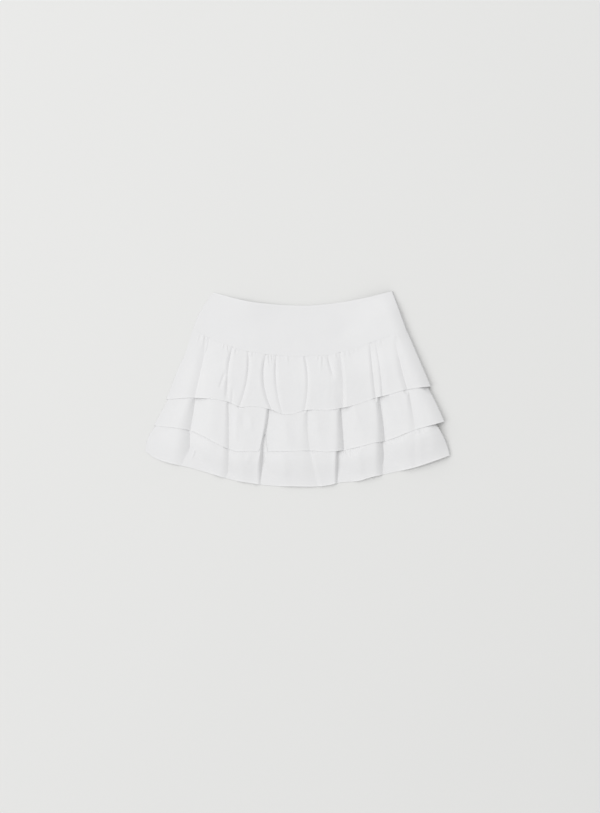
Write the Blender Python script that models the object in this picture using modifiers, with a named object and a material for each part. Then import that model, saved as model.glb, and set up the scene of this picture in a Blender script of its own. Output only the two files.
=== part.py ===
"""A cancan skirt laid flat on a surface: a wide shaped yoke over three gathered tiers, front and back.

X runs across the skirt, Y from the hem up to the waist and Z up from the surface it lies on.
The origin is the centre of its underside. The tables are in millimetres, all other sizes in metres.
"""

from collections import namedtuple

import bpy
import numpy as np

MM = 0.001

# The cloth's wall, and how its layers lie on each other
WALL = 0.0012
SEAM_GAP = 0.0003
LAYER = WALL + SEAM_GAP
SPARE = 0.0003

# Height of the front's outer surface above the floor
SIDE_LIFT = 2 * WALL + SEAM_GAP
SEAM_LIFT = 0.0042
FULL_LIFT = 0.0090
HEM_LIFT = 0.0052
SEAM_SLOPE = 0.20
SEAM_SHARE = 0.12
HEM_SLOPE = 0.70

# The rounded sides, and the hidden strip where a tier is sewn under the one above it
SIDE_ROLL = 0.020
STRIP_INSET = 0.005
LOWER_RIGHT_INSET = 0.015
STRIP_TOP = 0.84
STRIP_MIDDLE = 0.93
RAMP_END = 0.12
RISE_END = 0.35

# Small gathers along the yoke seam: the plain columns there stand up and down by turns
GATHER_HEIGHT = 0.0008
GATHER_END = 0.30

# A small fold tucks the top tier's left side in, and lets it spring out below
LEFT_TUCK = 0.002
LEFT_SPRING = 0.001
LEFT_TUCK_END = 0.40

# The waist's dip, and the yoke's bowed left side, low swell and slanting dent
WAIST_LOW_Y = 0.160
WAIST_DIP = 0.027
WAIST_MIDDLE_X = 0.008
WAIST_REACH = 0.172
WAIST_POWER = 1.8
WAIST_LEFT_X = -0.160
WAIST_RIGHT_X = 0.183
YOKE_LEFT_BOW = 0.005
YOKE_SWELL = 0.0016
YOKE_EDGE = 0.12
DENT_START = (0.066, 0.092)
DENT_END = (0.172, 0.160)
DENT_WIDTH = 0.014
DENT_DEPTH = 0.0010

# Grid steps
FRONT_COLUMN = 0.0105
BACK_COLUMN = 0.024
YOKE_COLUMN = 0.060
DROP_STEPS = (0.0, 0.33, 0.67, 1.0)
ROLL_STEPS = (0.0, 0.08, 0.25, 0.5, 0.75, 1.0)
YOKE_ROWS = (0.0, 0.2, 0.4, 0.6, 0.8, 1.0)

# Rows of each tier's grid, as shares of the way down from the line it hangs from to its hem
FRONT_ROWS = {
    1: (0.0, 0.05, 0.12, 0.22, 0.38, 0.5, 0.68, STRIP_TOP, STRIP_MIDDLE, 1.0),
    2: (0.0, RAMP_END, 0.3, 0.5, 0.7, STRIP_TOP, STRIP_MIDDLE, 1.0),
    3: (0.0, RAMP_END, 0.3, 0.55, 0.8, 1.0),
}
BACK_ROWS = (0.0, RAMP_END, 0.5, STRIP_TOP, 1.0)

# Where the edge of each fold meets the yoke seam and the three hems, from left to right (mm)
Line = namedtuple("Line", "name seam_x seam_y upper_x upper_y middle_x middle_y lower_x lower_y")
LINES = (
    Line("left_side", -200, 115, -251, -20, -273, -61, -292, -131),
    Line("left_valley", -173, 100, -200, -17, -210, -80, -217, -144),
    Line("left_fold", -128, 82, -135, -25, -138, -115, -138, -167),
    Line("short_left_fold", -95, 72, -115, -34, -118, -119, -118, -171),
    Line("left_plain", -79, 70, -84, -33, -88, -119, -93, -178),
    Line("deep_fold", -63, 67, -57, -40, -61, -86, -71, -183),
    Line("fading_fold", -40, 65, -37, -48, -37, -119, -34, -186),
    Line("centre_plain", -12, 63, -10, -48, -13, -119, -8, -187),
    Line("centre_fold", 15, 63, 15, -41, 17, -118, 23, -188),
    Line("short_gather", 56, 65, 57, -40, 56, -120, 55, -185),
    Line("long_fold", 80, 70, 87, -36, 85, -117, 76, -180),
    Line("right_plain", 111, 78, 113, -30, 117, -111, 119, -176),
    Line("right_fold", 137, 87, 149, -17, 149, -103, 146, -168),
    Line("second_right_fold", 148, 91, 163, -14, 165, -100, 167, -162),
    Line("outer_fold", 181, 103, 206, -1, 220, -78, 224, -147),
    Line("right_side", 212, 108, 254, 5, 282, -62, 292, -127),
)

# How far the cloth drops over each fold's edge at the seam and the three hems, how wide that drop is at the
# seam and at the bottom, and how far the middle hem is tucked up into the fold (mm)
Fold = namedtuple("Fold", "name seam upper middle lower top_width low_width tuck")
FOLDS = (
    Fold("left_valley", 2.0, 3.5, 3.5, 2.5, 14, 20, 0),
    Fold("left_fold", 5.0, 5.5, 5.5, 3.5, 5, 6, 0),
    Fold("short_left_fold", 3.5, 3.0, 0.5, 0.5, 7, 12, 0),
    Fold("deep_fold", 6.0, 6.5, 7.5, 5.0, 5, 6, 33),
    Fold("fading_fold", 3.5, 1.5, 0.5, 0.5, 4, 8, 0),
    Fold("centre_fold", 3.5, 4.5, 3.0, 2.0, 5, 14, 0),
    Fold("short_gather", 3.5, 0.5, 0.5, 0.5, 4, 8, 0),
    Fold("long_fold", 4.5, 5.5, 6.0, 4.0, 4, 6, 0),
    Fold("right_fold", 3.5, 4.0, 1.0, 0.5, 4, 8, 0),
    Fold("second_right_fold", 3.5, 4.0, 6.0, 4.0, 5, 6, 0),
    Fold("outer_fold", 4.0, 3.5, 3.5, 2.0, 5, 10, 0),
)
CREST_SHARE = 0.6

# The back's bottom hem is a little shorter than the front's, and peeks out below it on the right (mm)
BACK_SHORTER = 3
BACK_PEEK = {"left_valley": -5, "right_plain": 4, "right_fold": 8, "second_right_fold": 14, "outer_fold": 10}

YOKE_COLOUR = (0.80, 0.80, 0.79, 1.0)
TIER_COLOUR = (0.82, 0.82, 0.81, 1.0)
CLOTH_ROUGHNESS = 0.9

TIER_NAMES = {1: "upper_tier", 2: "middle_tier", 3: "lower_tier"}
LEVELS = ("seam", "upper", "middle", "lower")
LAST = len(LINES) - 1
FOLD_OF = {fold.name: fold for fold in FOLDS}


def ease(share):
    """A smooth step from 0 to 1."""
    share = np.clip(share, 0.0, 1.0)
    return share * share * (3 - 2 * share)


def line_values(field):
    """One column of the line table, in metres."""
    return np.array([getattr(line, field) for line in LINES]) * MM


def fold_values(field):
    """One column of the fold table for every line, in metres, with 0 where a line has no fold."""
    return np.array([getattr(FOLD_OF[line.name], field) if line.name in FOLD_OF else 0 for line in LINES]) * MM


def columns(spacing, front):
    """The grid's columns, each as a line, a share of that line's drop and a share of the way to the next.

    The front's two side lines hold the rounded edges. The back is plain, so it has no drops."""
    x = line_values("upper_x")
    found = []
    for i, line in enumerate(LINES):
        if front and i == LAST:
            found += [(i, 1 - share, 0.0) for share in reversed(ROLL_STEPS)]
        elif front and i == 0:
            found += [(i, share, 0.0) for share in ROLL_STEPS]
        elif front and line.name in FOLD_OF:
            found += [(i, share, 0.0) for share in DROP_STEPS]
        else:
            found.append((i, 1.0, 0.0))
        if i < LAST:
            steps = max(1, round((x[i + 1] - x[i]) / spacing))
            found += [(i, 1.0, step / steps) for step in range(1, steps)]
    line, share, way = zip(*found)
    return np.array(line), np.array(share), np.array(way)


def along(cols, crest, foot):
    """Values on every column: from crest to foot over a line's drop, then on to the next line's crest."""
    line, share, way = cols
    following = np.minimum(line + 1, LAST)
    on_drop = crest[line] * (1 - share) + foot[line] * share
    on_way = foot[line] * (1 - way) + crest[following] * way
    return np.where(way > 0, on_way, on_drop)


def drop_width(depth):
    """Width of every line's drop at a share of the whole way down, from the seam to the bottom hem."""
    return fold_values("top_width") * (1 - depth) + fold_values("low_width") * depth


def plan(cols, tier, down, front, inset=0.0):
    """X and Y of one row, at a share down from the line that the tier hangs from to its hem."""
    top_x, top_y = line_values(f"{LEVELS[tier - 1]}_x"), line_values(f"{LEVELS[tier - 1]}_y")
    low_x, low_y = line_values(f"{LEVELS[tier]}_x"), line_values(f"{LEVELS[tier]}_y")
    hang_x = top_x.copy()
    if tier > 1:
        left, right = top_x[0] + STRIP_INSET, top_x[-1] - (LOWER_RIGHT_INSET if tier == 3 else STRIP_INSET)
        last_foot = top_x[-2] + (drop_width((tier - 1) / 3)[-2] if front else 0.0)
        top_y[0] = np.interp(left, top_x[:2], top_y[:2])
        top_y[-1] = np.interp(right, (last_foot, top_x[-1]), top_y[-2:])
        top_x[0], top_x[-1] = left, right
    if tier == 3 and not front:
        longer = [BACK_PEEK.get(line.name, 0) - BACK_SHORTER for line in LINES]
        low_y -= np.array(longer) * MM
    x = top_x * (1 - down) + low_x * down
    y = top_y * (1 - down) + low_y * down
    left_foot = hang_x[0] * (1 - down) + low_x[0] * down + SIDE_ROLL
    right_crest = hang_x[-1] * (1 - down) + low_x[-1] * down - SIDE_ROLL
    if tier == 1 and down < LEFT_TUCK_END:
        x[0] += LEFT_TUCK * (down / LEFT_TUCK_END) ** 2
    elif tier == 1:
        x[0] -= LEFT_SPRING * np.sin(np.pi * (down - LEFT_TUCK_END) / (1 - LEFT_TUCK_END))
    x[0] += inset
    x[-1] -= inset
    tuck = fold_values("tuck") * (0.0, down, 1 - down)[tier - 1]
    if not front:
        return along(cols, x, x), along(cols, y - tuck, y - tuck)
    crest_x, crest_y, foot_x, foot_y = x.copy(), y.copy(), x + drop_width((tier - 1 + down) / 3), y - tuck
    foot_x[0], crest_x[-1] = left_foot, right_crest
    foot_y[0] = np.interp(foot_x[0], x[:2], y[:2])
    crest_y[-1] = np.interp(crest_x[-1], (foot_x[-2], x[-1]), y[-2:])
    return along(cols, crest_x, foot_x), along(cols, crest_y, foot_y)


def lift(cols, tier, down):
    """Height of the front's outer surface on one row: slow rises to each fold's edge and a drop over it."""
    line, share, way = cols
    drop = fold_values(LEVELS[tier - 1]) * (1 - down) + fold_values(LEVELS[tier]) * down
    plain = FULL_LIFT
    if tier == 1:
        drop *= SEAM_SHARE + (1 - SEAM_SHARE) * ease(down / SEAM_SLOPE)
        plain = SEAM_LIFT + (FULL_LIFT - SEAM_LIFT) * ease(down / SEAM_SLOPE)
    if tier == 3:
        plain = FULL_LIFT + (HEM_LIFT - FULL_LIFT) * ease((down - 1 + HEM_SLOPE) / HEM_SLOPE)
    crest = plain + CREST_SHARE * drop
    foot = crest - drop
    following = np.minimum(line + 1, LAST)
    over = crest[line] - drop[line] * ease(share)
    z = np.where(way > 0, foot[line] + (crest[following] - foot[line]) * ease(way), over)
    if tier == 1:
        turn = np.where(np.arange(len(line)) % 2 == 0, 1.0, -1.0) * (way > 0)
        z += GATHER_HEIGHT * turn * ease(1 - down / GATHER_END)
    return z


def rounded(cols, z, side_lift, hidden):
    """Brings the front's side columns down to the side seam: a quarter ellipse, or a softer curve in strips.

    hidden is 1 in a strip that is sewn under the tier above, and 0 where the tier shows."""
    line, share, _ = cols
    inward = np.where(line == 0, share, np.where(line == LAST, 1 - share, 1.0))
    full = np.sqrt(1 - (1 - inward) ** 2)
    soft = np.sin(np.pi / 2 * inward)
    shape = full * (1 - hidden) + soft * hidden
    return side_lift + (z - side_lift) * shape


def steepness(x, z):
    """How much longer a layer's thickness is when it is measured straight down, on every column."""
    slope = np.abs(np.diff(z) / np.maximum(np.diff(x), 1e-6))
    beside = np.maximum(np.append(slope, 0), np.append(0, slope))
    return np.sqrt(1 + beside**2)


def layout(tier, rows):
    """The rows of a tier as (tier whose lines it follows, share down, hidden)."""
    strip = [(tier - 1, STRIP_TOP, 1.0), (tier - 1, STRIP_MIDDLE, 1.0)] if tier > 1 else []
    return strip + [(tier, down, 1.0 if tier > 1 and down == 0 else 0.0) for down in rows]


def front_tier(tier):
    """Grid points of a tier's front, an array of rows by columns by 3."""
    cols = columns(FRONT_COLUMN, True)
    grid = []
    for follows, down, hidden in layout(tier, FRONT_ROWS[tier]):
        in_strip = follows < tier
        x, y = plan(cols, follows, down, True, STRIP_INSET if in_strip else 0.0)
        z = lift(cols, follows, down)
        under = 1.0 if in_strip else (1 - ease(down / RISE_END)) * (tier > 1)
        z -= under * (LAYER * steepness(x, z) + SPARE)
        base = back_base(tier, in_strip, down)
        z = rounded(cols, z, base + SIDE_LIFT, hidden)
        grid.append(np.stack((x, y, np.maximum(z, base + SIDE_LIFT)), axis=1))
    return np.array(grid)


def back_base(tier, in_strip, down):
    """Height of a back tier's underside: on the tier above it in the strip, then down to the floor."""
    if tier == 1:
        return 0.0
    return LAYER if in_strip else LAYER * (1 - min(down / RAMP_END, 1.0))


def back_tier(tier):
    """Grid points of a tier's back, its underside."""
    cols = columns(BACK_COLUMN, False)
    grid = []
    for follows, down, _ in layout(tier, BACK_ROWS):
        in_strip = follows < tier
        x, y = plan(cols, follows, down, False, STRIP_INSET if in_strip else 0.0)
        z = np.full_like(x, back_base(tier, in_strip, down))
        grid.append(np.stack((x, y, z), axis=1))
    return np.array(grid)


def yoke_grid(front):
    """Grid points of a yoke, from the dipped waist to the seam; the back one is flat on the floor."""
    cols = columns(YOKE_COLUMN, front)
    seam_x, seam_y = plan(cols, 1, 0.0, front)
    share = (seam_x - seam_x[0]) / (seam_x[-1] - seam_x[0])
    waist_x = WAIST_LEFT_X + (WAIST_RIGHT_X - WAIST_LEFT_X) * share
    waist_y = WAIST_LOW_Y + WAIST_DIP * np.abs((waist_x - WAIST_MIDDLE_X) / WAIST_REACH) ** WAIST_POWER
    down = np.array(YOKE_ROWS)[:, None]
    x = waist_x * (1 - down) + seam_x * down - YOKE_LEFT_BOW * np.sin(np.pi * down) * (1 - share)
    y = waist_y * (1 - down) + (seam_y + 2 * SEAM_GAP) * down
    if not front:
        return np.stack((x, y, np.zeros_like(x)), axis=2)
    swell = YOKE_SWELL * ease(share / YOKE_EDGE) * ease((1 - share) / YOKE_EDGE) * (0.35 + 0.65 * down)
    start, end = np.array(DENT_START), np.array(DENT_END)
    run = (end - start) / np.linalg.norm(end - start)
    across = (x - start[0]) * run[1] - (y - start[1]) * run[0]
    ahead = ((x - start[0]) * run[0] + (y - start[1]) * run[1]) / np.linalg.norm(end - start)
    dent = DENT_DEPTH * np.exp(-((across / DENT_WIDTH) ** 2)) * ease(ahead * 4) * ease((1 - ahead) * 4)
    return np.stack((x, y, SIDE_LIFT + np.maximum(swell - dent, 0)), axis=2)


def cloth_material(name, colour):
    """A plain matt white cloth."""
    material = bpy.data.materials.new(name)
    material.use_nodes = True
    shader = material.node_tree.nodes["Principled BSDF"]
    shader.inputs["Base Color"].default_value = colour
    shader.inputs["Roughness"].default_value = CLOTH_ROUGHNESS
    return material


def panel(name, grid, front, colour, collection):
    """A cloth panel: the open grid surface, made a wall inwards from the front or upwards from the back."""
    rows, cols, _ = grid.shape
    corner = np.arange(rows * cols).reshape(rows, cols)
    quads = np.stack((corner[1:, :-1], corner[1:, 1:], corner[:-1, 1:], corner[:-1, :-1]), axis=2)
    mesh = bpy.data.meshes.new(name)
    mesh.from_pydata(grid.reshape(-1, 3).tolist(), [], quads.reshape(-1, 4).tolist())
    mesh.materials.append(cloth_material(f"{name}_cloth", colour))
    mesh.shade_smooth()
    item = bpy.data.objects.new(name, mesh)
    collection.objects.link(item)
    wall = item.modifiers.new("Wall", "SOLIDIFY")
    wall.thickness = WALL
    wall.offset = -1.0 if front else 1.0
    return item


def main():
    for item in list(bpy.data.objects):
        bpy.data.objects.remove(item)
    collection = bpy.data.collections.new("cancan_skirt")
    bpy.context.scene.collection.children.link(collection)
    panel("yoke_front", yoke_grid(True), True, YOKE_COLOUR, collection)
    panel("yoke_back", yoke_grid(False), False, YOKE_COLOUR, collection)
    for tier, name in TIER_NAMES.items():
        panel(f"{name}_front", front_tier(tier), True, TIER_COLOUR, collection)
        panel(f"{name}_back", back_tier(tier), False, TIER_COLOUR, collection)


main()
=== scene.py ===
"""The looks of a white cancan skirt laid flat: thin gathered cloth, hems, stitches, pale floor, soft light.

Tables are in millimetres in the skirt's own frame, X across, Y from hem to waist; all else is in metres.
"""

from collections import namedtuple

import bpy
import numpy as np
from bpy.props import FloatProperty, FloatVectorProperty, IntProperty, PointerProperty
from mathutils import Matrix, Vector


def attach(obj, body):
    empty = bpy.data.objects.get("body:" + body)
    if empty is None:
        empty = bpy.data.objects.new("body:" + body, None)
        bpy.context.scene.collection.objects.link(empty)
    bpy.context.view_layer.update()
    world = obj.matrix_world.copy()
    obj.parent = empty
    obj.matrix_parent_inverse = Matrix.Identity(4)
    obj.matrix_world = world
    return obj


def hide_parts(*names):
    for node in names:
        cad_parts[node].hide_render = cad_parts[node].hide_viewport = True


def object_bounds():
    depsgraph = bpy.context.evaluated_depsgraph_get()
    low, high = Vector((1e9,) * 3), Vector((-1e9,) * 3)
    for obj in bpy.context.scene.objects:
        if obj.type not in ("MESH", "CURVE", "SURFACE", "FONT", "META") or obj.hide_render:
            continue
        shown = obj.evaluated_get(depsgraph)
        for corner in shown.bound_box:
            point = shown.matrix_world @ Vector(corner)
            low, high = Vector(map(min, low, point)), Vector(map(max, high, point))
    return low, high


bl_info = {
    "name": "Cancan Skirt Laid Flat",
    "version": (1, 0, 0),
    "blender": (4, 5, 0),
    "location": "View3D > Sidebar > Skirt",
    "description": "Makes the cloth, hems and stitches of a gathered skirt that lies flat, and its stage",
    "category": "Object",
}

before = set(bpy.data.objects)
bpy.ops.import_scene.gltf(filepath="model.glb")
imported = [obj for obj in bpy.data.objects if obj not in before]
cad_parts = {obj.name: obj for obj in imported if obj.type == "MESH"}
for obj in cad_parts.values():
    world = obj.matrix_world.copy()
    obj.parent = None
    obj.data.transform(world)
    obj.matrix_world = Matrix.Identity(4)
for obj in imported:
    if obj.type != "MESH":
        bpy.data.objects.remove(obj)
CAD_BOX = [list(corner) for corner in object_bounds()]
SKIRT_WIDTH = CAD_BOX[1][0] - CAD_BOX[0][0]
MM = 0.001

# The yoke seam from left to right (mm)
SEAM = (
    (-200, 115), (-173, 100), (-128, 82), (-95, 72), (-79, 70), (-63, 67), (-40, 65), (-12, 63),
    (15, 63), (56, 65), (80, 70), (111, 78), (137, 87), (148, 91), (181, 103), (212, 108),
)

# Each fold's valley on its way down a tier: X at the top, halfway and at the hem, Y at the hem, how deep it
# is at the top and at the hem, and how wide its fall on the left and its climb on the right are at the hem
# (mm). The plain paths only shape the hem.
Path = namedtuple("Path", "name top middle hem hem_y high low fall climb", defaults=(0, 0, 0, 0))
UPPER = [Path(*row) for row in (
    ("left_side", -200, -224, -251, -20),
    ("left_valley", -171, -184, -197, -17, 1.8, 4.4, 18, 26),
    ("left_fold", -124, -133, -131, -25, 3.4, 0.5, 9, 9),
    ("short_left_fold", -94, -96, -111, -34, 2.7, 1.2, 7, 10),
    ("left_plain", -79, -83, -84, -33),
    ("deep_fold", -60, -64, -49, -40, 3.2, 2.4, 9, 20),
    ("fading_fold", -40, -40, -28, -48, 2.6, 0.8, 7, 9),
    ("centre_plain", -12, -12, -10, -48),
    ("centre_fold", 15, 20, 14, -41, 2.3, 1.2, 8, 10),
    ("short_gather", 58, 65, 64, -40, 0.6, 0.0, 8, 9),
    ("long_fold", 82, 87, 87, -36, 3.6, 4.6, 20, 8),
    ("right_plain", 111, 112, 113, -30),
    ("right_fold", 139, 144, 150, -17, 2.5, 2.8, 8, 34),
    ("second_right_fold", 149, 158, 163, -14, 1.4, 2.8, 6, 12),
    ("outer_fold", 184, 196, 210, -1, 0.8, 4.4, 12, 16),
    ("right_side", 212, 234, 256, 5),
)]
MIDDLE = [Path(*row) for row in (
    ("left_side", -248, -261, -275, -70),
    ("left_valley", -195, -200, -205, -80, 7.5, 9.5, 26, 56),
    ("left_fold", -132, -131, -131, -115, 2.6, 3.2, 11, 34),
    ("short_left_fold", -115, -117, -118, -119),
    ("left_plain", -84, -86, -88, -119),
    ("deep_fold", -54, -56, -61, -86, 4.8, 7.6, 11, 50),
    ("fading_fold", -37, -37, -37, -119),
    ("centre_plain", -10, -12, -13, -119),
    ("centre_fold", 20, 20, 24, -118, 2.6, 2.4, 15, 30),
    ("short_gather", 57, 57, 56, -120),
    ("long_fold", 84, 87, 90, -117, 8.0, 10.5, 18, 46),
    ("right_plain", 120, 120, 121, -110),
    ("right_fold", 143, 145, 146, -103),
    ("second_right_fold", 157, 164, 168, -100, 9.6, 10.8, 18, 48),
    ("outer_fold", 212, 219, 225, -78, 4.0, 2.2, 13, 22),
    ("right_side", 250, 267, 282, -62),
)]
LOWER = [Path(*row) for row in (
    ("left_side", -271, -286, -291, -119),
    ("left_corner", -262, -272, -276, -131),
    ("left_valley", -206, -206, -206, -151, 10.0, 8.0, 32, 60),
    ("left_fold", -131, -132, -133, -172, 4.0, 3.8, 16, 34),
    ("short_left_fold", -118, -118, -118, -176),
    ("left_plain", -91, -91, -93, -180),
    ("deep_fold", -64, -66, -67, -184, 7.6, 7.4, 9, 50),
    ("fading_fold", -40, -40, -40, -186),
    ("centre_plain", -13, -10, -8, -187),
    ("centre_fold", 24, 31, 39, -187, 2.0, 1.8, 28, 10),
    ("short_gather", 58, 58, 58, -185),
    ("long_fold", 79, 79, 80, -180, 9.0, 9.0, 9, 50),
    ("right_plain", 117, 118, 119, -176),
    ("right_fold", 142, 142, 142, -169),
    ("second_right_fold", 164, 167, 171, -163, 11.0, 11.5, 22, 52),
    ("outer_fold", 222, 224, 226, -150, 0.8, 0.6, 14, 14),
    ("right_side", 266, 283, 293, -127),
)]
TIERS = {"upper_tier": UPPER, "middle_tier": MIDDLE, "lower_tier": LOWER}

# How far the middle hem is tucked up into the deep fold, and how far out on its left and right
TUCKED = ("middle_tier", "deep_fold")
HEM_TUCK = 0.033
TUCK_REACHES = (0.014, 0.005)

# Small gathers under the yoke seam: X at the seam, how far they wander, their reach, height and width (mm)
GATHERS = (
    (-179, -5, 28, 1.6, 1.3), (-172, -6, 18, 1.5, 0.8), (-146, -2, 9, 0.6, 0.9), (-141, -3, 13, 1.4, 0.7),
    (-135, 1, 16, 1.6, 0.8), (-119, -4, 20, 1.7, 1.1), (-113, -1, 8, 0.7, 0.8), (-88, -1, 12, 1.4, 1.2),
    (-82, 1, 9, 0.8, 0.7), (-57, 3, 32, 1.7, 0.9), (-51, 2, 20, 1.7, 0.7), (-46, -2, 11, 1.0, 0.8),
    (-35, -1, 10, 0.9, 1.1), (-19, 1, 18, 1.5, 0.9), (-4, 0, 8, 0.6, 1.3), (11, 2, 19, 1.4, 0.9),
    (39, -1, 14, 1.3, 0.9), (46, -1, 36, 1.5, 1.1), (52, 1, 10, 0.9, 0.8), (73, 1, 13, 1.2, 0.9),
    (89, 2, 17, 1.5, 1.5), (97, 4, 22, 1.5, 1.7), (106, 1, 15, 1.2, 1.4), (114, 2, 9, 0.9, 1.0),
    (157, 4, 18, 1.4, 1.0), (164, 2, 8, 0.7, 0.8), (184, 6, 26, 1.5, 1.6), (192, 4, 15, 1.3, 1.1),
    (199, 5, 13, 1.2, 0.9), (206, 3, 11, 1.0, 0.9),
)

# A gather's form for a width of 1: how wide its rise and its drop are, and its trough's place and width (mm)
GATHER_RISE = 5.0
GATHER_DROP = 2.5
TROUGH_PLACE = 3.0
TROUGH_SIZE = 2.0

# Shares of a gather's height: its trough, the whole and its start at the seam, and how soon it grows
GATHER_TROUGH = 0.35
GATHER_SHARE = 0.8
GATHER_AT_SEAM = 0.3
GATHER_START = 0.005

# Soft creases and ridges between the folds: X and Y where they start and end, their width and height (mm)
CREASES = {
    "upper_tier": (
        (-137, 36, -150, -4, 2.6, -1.5), (-131, 27, -137, -26, 3.2, -1.5), (-123, 4, -125, -32, 3, -1.3),
        (57, 70, 71, 16, 2.8, -1.9), (196, 68, 205, 10, 9, -1.2), (75, 26, 77, -40, 9, -1.3),
    ),
    "middle_tier": (
        (-171, -52, -172, -104, 11, 1), (-117, -36, -117, -112, 5, 1), (-104, -38, -102, -80, 5, -0.9),
        (-89, -46, -88, -84, 5.5, 0.9), (-24, -50, -20, -118, 9, 0.7), (39, -60, 38, -84, 8, 0.5),
        (111, -40, 112, -84, 7, 0.8), (189, -30, 192, -70, 8, 0.7),
    ),
    "lower_tier": (
        (-91, -118, -95, -146, 5, 0.8), (-22, -122, -20, -170, 10, 0.6), (-178, -98, -180, -150, 12, 0.8),
        (245, -90, 250, -120, 9, -0.8), (118, -122, 120, -165, 12, 0.6),
    ),
}

# The back's gathers press into narrow troughs that start at the seam: X at the seam, X at the hem, share of
# the length they reach down, and height off the floor (mm)
BACK_TROUGHS = (
    (-188, -270, 0.9, 1.2), (-171, -238, 0.35, 0.8), (-152, -205, 1.0, 1.5), (-139, -180, 0.3, 0.9),
    (-121, -166, 0.7, 1.2), (-104, -140, 0.25, 0.8), (-92, -126, 1.0, 1.4), (-71, -92, 0.4, 1.0),
    (-58, -78, 0.8, 1.3), (-37, -48, 0.3, 0.8), (-22, -27, 1.0, 1.5), (-3, -2, 0.35, 0.9),
    (14, 22, 0.65, 1.2), (33, 44, 0.3, 0.8), (47, 66, 1.0, 1.4), (68, 88, 0.45, 1.0),
    (83, 118, 0.85, 1.3), (101, 138, 0.3, 0.9), (117, 168, 1.0, 1.5), (136, 186, 0.4, 0.9),
    (155, 214, 0.75, 1.2), (172, 236, 0.3, 0.8), (190, 266, 0.95, 1.2),
)
TROUGH_WIDTH = 0.0024
TROUGH_START = 0.06
TROUGH_END = 0.14
TROUGH_FADE = 0.12
BACK_WRINKLE = 0.5

# How much shorter the back's bottom hem is than the front's, in general and at some folds (mm)
BACK_SHORTER = 3
BACK_SHORTER_AT = {"left_valley": 8, "right_fold": 2, "second_right_fold": 0}

# The waist's dip and ends, and the bow of the yoke's left side
WAIST_LOW_Y = 0.160
WAIST_DIP = 0.027
WAIST_MIDDLE_X = 0.008
WAIST_REACH = 0.172
WAIST_POWER = 1.8
WAIST_ENDS = (-0.160, 0.183)
YOKE_LEFT_BOW = 0.005

# The waist hangs loose at the left, lower in Y and higher off the floor, around a middle and for a share of
# the way down; at the right it has a share of the yoke's rise
LOOSE_X = -0.095
LOOSE_WIDTH = 0.050
LOOSE_REACH = 0.60
LOOSE_LIFT = 0.0038
LOOSE_DROP = 0.0024
WAIST_RISE_SHARE = 0.45

# The yoke's soft slanting dent, and how far up the gathers pull at the yoke
DENT_START = (0.045, 0.086)
DENT_END = (0.165, 0.158)
DENT_WIDTH = 0.016
DENT_DEPTH = 0.0012
YOKE_PULL_REACH = 0.015

# Heights of the front's outer surface above the floor, the lower hem's at two places across, the gap between
# layers, the back's height, and a crest's height and width as shares of its fold's depth and fall
SEAM_LIFT = 0.0050
FULL_LIFT = 0.0125
HEM_LIFTS = ((-0.050, 0.0030), (0.210, 0.0062))
WAIST_LIFT = 0.0030
LAYER_GAP = 0.0001
BACK_LIFT = 0.0002
CREST_SHARE = 0.12
CREST_WIDTH = 0.7

# Shares of the way down: where the top tier's cloth is at full height and its folds at full depth, with the
# share of it at the seam, and where the lower tier starts to sink towards its hem
SEAM_SLOPE = 0.55
FOLD_START = 0.20
SEAM_SHARE = 0.35
HEM_SLOPE_START = 0.20

# The left lies flatter than the rest, and the right stands higher: the left's share of the height, the
# right's rise in the yoke and in the ruffles, and how far in they reach. The left edge is thin; the right
# falls gently, and turns down at its very edge.
LEFT_SHARE = 0.12
LEFT_REACH = 0.095
YOKE_RIGHT_RISE = 0.0168
RIGHT_RISE = 0.0112
RIGHT_REACH = 0.120
LEFT_EDGE = 0.0010
RIGHT_FALL = 0.027
RIGHT_EDGE = 0.0012
RIGHT_STEEP_SHARE = 0.60

# The width of the seam's crease, and how far from it the wrinkles start
SEAM_CREASE = 0.00004
SEAM_CALM = 0.004

# How wide a fold is at the top of each tier, as a share of its width at the hem; the grid's columns beside a
# valley, how much closer they stand near it, and how far out they go
TOP_WIDTHS = {"upper_tier": 0.65, "middle_tier": 0.55, "lower_tier": 0.75}
FOLD_COLUMNS = 11
FOLD_PACKING = 1.5
FOLD_GRID = 0.008

# The hidden strip where a tier is sewn under the one above: its width, how much narrower it gets, and the
# steepest rise of the cloth below it; the share of a back tier that comes down to the floor
STRIP = 0.020
STRIP_NARROWER = 0.045
STRIP_RISE = 0.40
STRIP_ROWS = 7
RAMP_END = 0.12

# Square cells in which the lowest points of a tier are found, so that the next one stays under it
CELL = 0.0017
CELLS_AROUND = 1
CELLS_BESIDE = 12
OUT_OF_REACH = 0.05

# A small fold tucks the top tier's left side in, and lets it spring out below
LEFT_TUCK = 0.002
LEFT_SPRING = 0.001
LEFT_TUCK_END = 0.40
LEFT_TUCK_BACK = 0.10

# The turned hem: reach of its curl, height of its stitches, the groove that they pull in, and its step
HEM_CURL_REACH = 0.004
STITCH_UP = 0.0035
HEM_GROOVE = 0.0010
HEM_STEP = 0.0001
# How much whiter the turned hem's colour is: a painted highlight for light caught at the hem's edge, partly
# also the denser double layer
HEM_PAINTED_HIGHLIGHT = 1.01

# Grids: each tier's share of the rows, and the back's; how even the rows are, and the edge row's distance
ROW_SHARES = {"upper_tier": 1.0, "middle_tier": 0.75, "lower_tier": 0.75}
BACK_ROW_SHARE = 0.7
ROW_EVENNESS = 0.55
EDGE_ROW = 0.002
YOKE_ROWS = 60
YOKE_COARSER = 1.3
SIDE_COLUMNS = 15
FLOOR_LEVEL = -0.0001
FLOOR_CUTS = 3

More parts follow.
